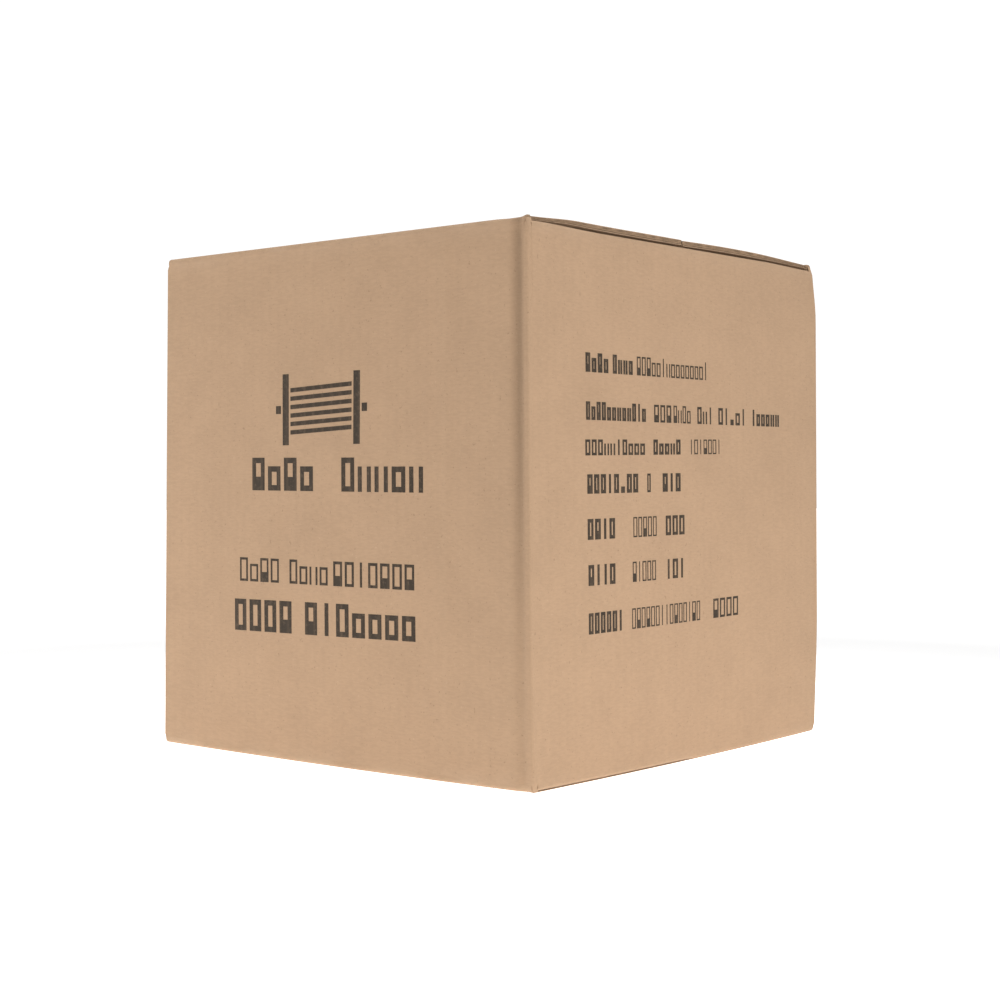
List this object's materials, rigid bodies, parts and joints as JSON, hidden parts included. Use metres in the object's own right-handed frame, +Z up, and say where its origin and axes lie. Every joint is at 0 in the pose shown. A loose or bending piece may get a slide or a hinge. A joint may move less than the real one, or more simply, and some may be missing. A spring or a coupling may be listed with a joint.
{
  "type": "cable spool box",
  "caption": "Square corrugated carton with folding top flaps and a pull-out tab, holding a flanged reel of network cable that turns on an axle.",
  "frame": {"origin": "middle of the carton's base, on the surface it stands on", "axes": "+Z up, -Y is the front face with the large mark, +X is the side face with the lines of shipping data; the reel's axle lies along X"},
  "size_m": [0.31, 0.31, 0.32],
  "materials": {
    "kraft_board": "matte",
    "pad_board": "matte",
    "axle_paper": "matte",
    "core_paper": "matte",
    "plywood": "matte",
    "bush_plastic": "satin",
    "zinc_steel": "satin",
    "cable_jacket": "satin",
    "tape": "satin"
  },
  "bodies": {
    "carton": {"front_wall": "kraft_board", "back_wall": "kraft_board", "left_wall": "kraft_board", "right_wall": "kraft_board", "glue_tab": "kraft_board", "left_top_flap": "kraft_board", "right_top_flap": "kraft_board", "front_bottom_flap": "kraft_board", "back_bottom_flap": "kraft_board", "left_bottom_flap": "kraft_board", "right_bottom_flap": "kraft_board", "bottom_pad": "pad_board", "top_pad": "pad_board", "left_end_pad": "pad_board", "right_end_pad": "pad_board", "axle_tube": "axle_paper"},
    "front_top_flap": {"front_top_flap": "kraft_board"},
    "back_top_flap": {"back_top_flap": "kraft_board"},
    "payout_tab": {"payout_tab": "kraft_board"},
    "reel": {"left_flange": "plywood", "right_flange": "plywood", "left_bush": "bush_plastic", "right_bush": "bush_plastic", "core_tube": "core_paper", "tie_bolts": "zinc_steel", "tie_washers": "zinc_steel", "tie_nuts": "zinc_steel", "cable_winding": "cable_jacket", "end_tape": "tape"}
  },
  "joints": [
    {"name": "front_top_flap_fold", "type": "hinge", "parent": "carton", "child": "front_top_flap", "pos_m": [0, -0.154, 0.319], "axis": [1, 0, 0], "range_deg": [0, 225]},
    {"name": "back_top_flap_fold", "type": "hinge", "parent": "carton", "child": "back_top_flap", "pos_m": [0, 0.154, 0.319], "axis": [-1, 0, 0], "range_deg": [0, 225]},
    {"name": "payout_tab_fold", "type": "hinge", "parent": "carton", "child": "payout_tab", "pos_m": [0, 0.154, 0.2434], "axis": [-1, 0, 0], "range_deg": [0, 135]},
    {"name": "reel_spin", "type": "hinge", "parent": "carton", "child": "reel", "pos_m": [0, 0, 0.16], "axis": [1, 0, 0], "continuous": true}
  ]
}
